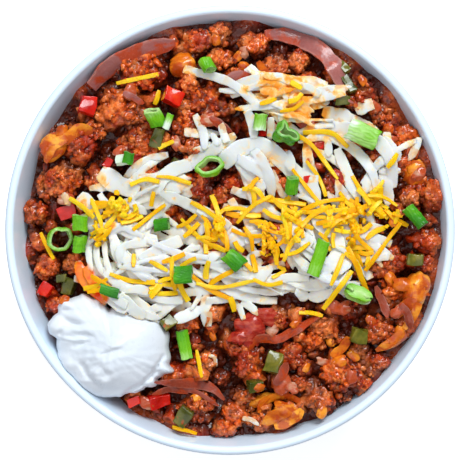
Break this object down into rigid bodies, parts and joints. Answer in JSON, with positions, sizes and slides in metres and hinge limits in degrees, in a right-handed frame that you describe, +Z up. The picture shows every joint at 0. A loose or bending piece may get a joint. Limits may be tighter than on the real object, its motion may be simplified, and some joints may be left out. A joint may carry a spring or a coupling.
{
  "type": "bowl_of_chili_con_carne",
  "caption": "White glazed bowl of chili con carne topped with grated white cheese and cheddar, a spoonful of sour cream and cut spring onions",
  "frame": {"origin": "middle of the foot ring, on the surface that the bowl stands on", "axes": "+Z up out of the bowl; +X to the right and +Y away from the eater, with the sour cream at the left near side"},
  "size_m": [0.16, 0.16, 0.0802],
  "materials": {
    "white_glaze": "white, thin, glossy",
    "chili": "browned mince in an oily red sauce",
    "pale_cheese": "white grated cheese, soft sheen",
    "cheddar": "orange grated cheddar, soft sheen",
    "sour_cream": "thick white cream, moist",
    "cooked_onion": "translucent, wet with sauce",
    "red_pepper": "cooked, wet",
    "green_pepper": "cooked olive green, wet",
    "yellow_pepper": "cooked orange yellow, wet",
    "spring_onion": "raw, fresh green, moist"
  },
  "bodies": {
    "root": {"bowl": "white_glaze", "chili": "chili", "pale_cheese": "pale_cheese", "cheddar": "cheddar", "sour_cream": "sour_cream", "onion_strip_left": "cooked_onion", "onion_strip_far": "cooked_onion", "onion_strip_right": "cooked_onion", "onion_strip_near": "cooked_onion", "red_pepper_1": "red_pepper", "red_pepper_2": "red_pepper", "red_pepper_3": "red_pepper", "red_pepper_4": "red_pepper", "green_pepper_1": "green_pepper", "green_pepper_2": "green_pepper", "green_pepper_3": "green_pepper", "green_pepper_4": "green_pepper", "green_pepper_5": "green_pepper", "yellow_pepper_1": "yellow_pepper", "yellow_pepper_2": "yellow_pepper", "yellow_pepper_3": "yellow_pepper", "yellow_pepper_4": "yellow_pepper", "yellow_pepper_5": "yellow_pepper", "yellow_pepper_6": "yellow_pepper", "yellow_pepper_7": "yellow_pepper", "spring_onion_01": "spring_onion", "spring_onion_02": "spring_onion", "spring_onion_03": "spring_onion", "spring_onion_04": "spring_onion", "spring_onion_05": "spring_onion", "spring_onion_06": "spring_onion", "spring_onion_07": "spring_onion", "spring_onion_08": "spring_onion", "spring_onion_09": "spring_onion", "spring_onion_10": "spring_onion", "spring_onion_11": "spring_onion", "spring_onion_12": "spring_onion", "spring_onion_13": "spring_onion", "spring_onion_14": "spring_onion", "spring_onion_15": "spring_onion", "spring_onion_16": "spring_onion", "spring_onion_17": "spring_onion", "spring_onion_18": "spring_onion", "spring_onion_19": "spring_onion"}
  },
  "joints": []
}
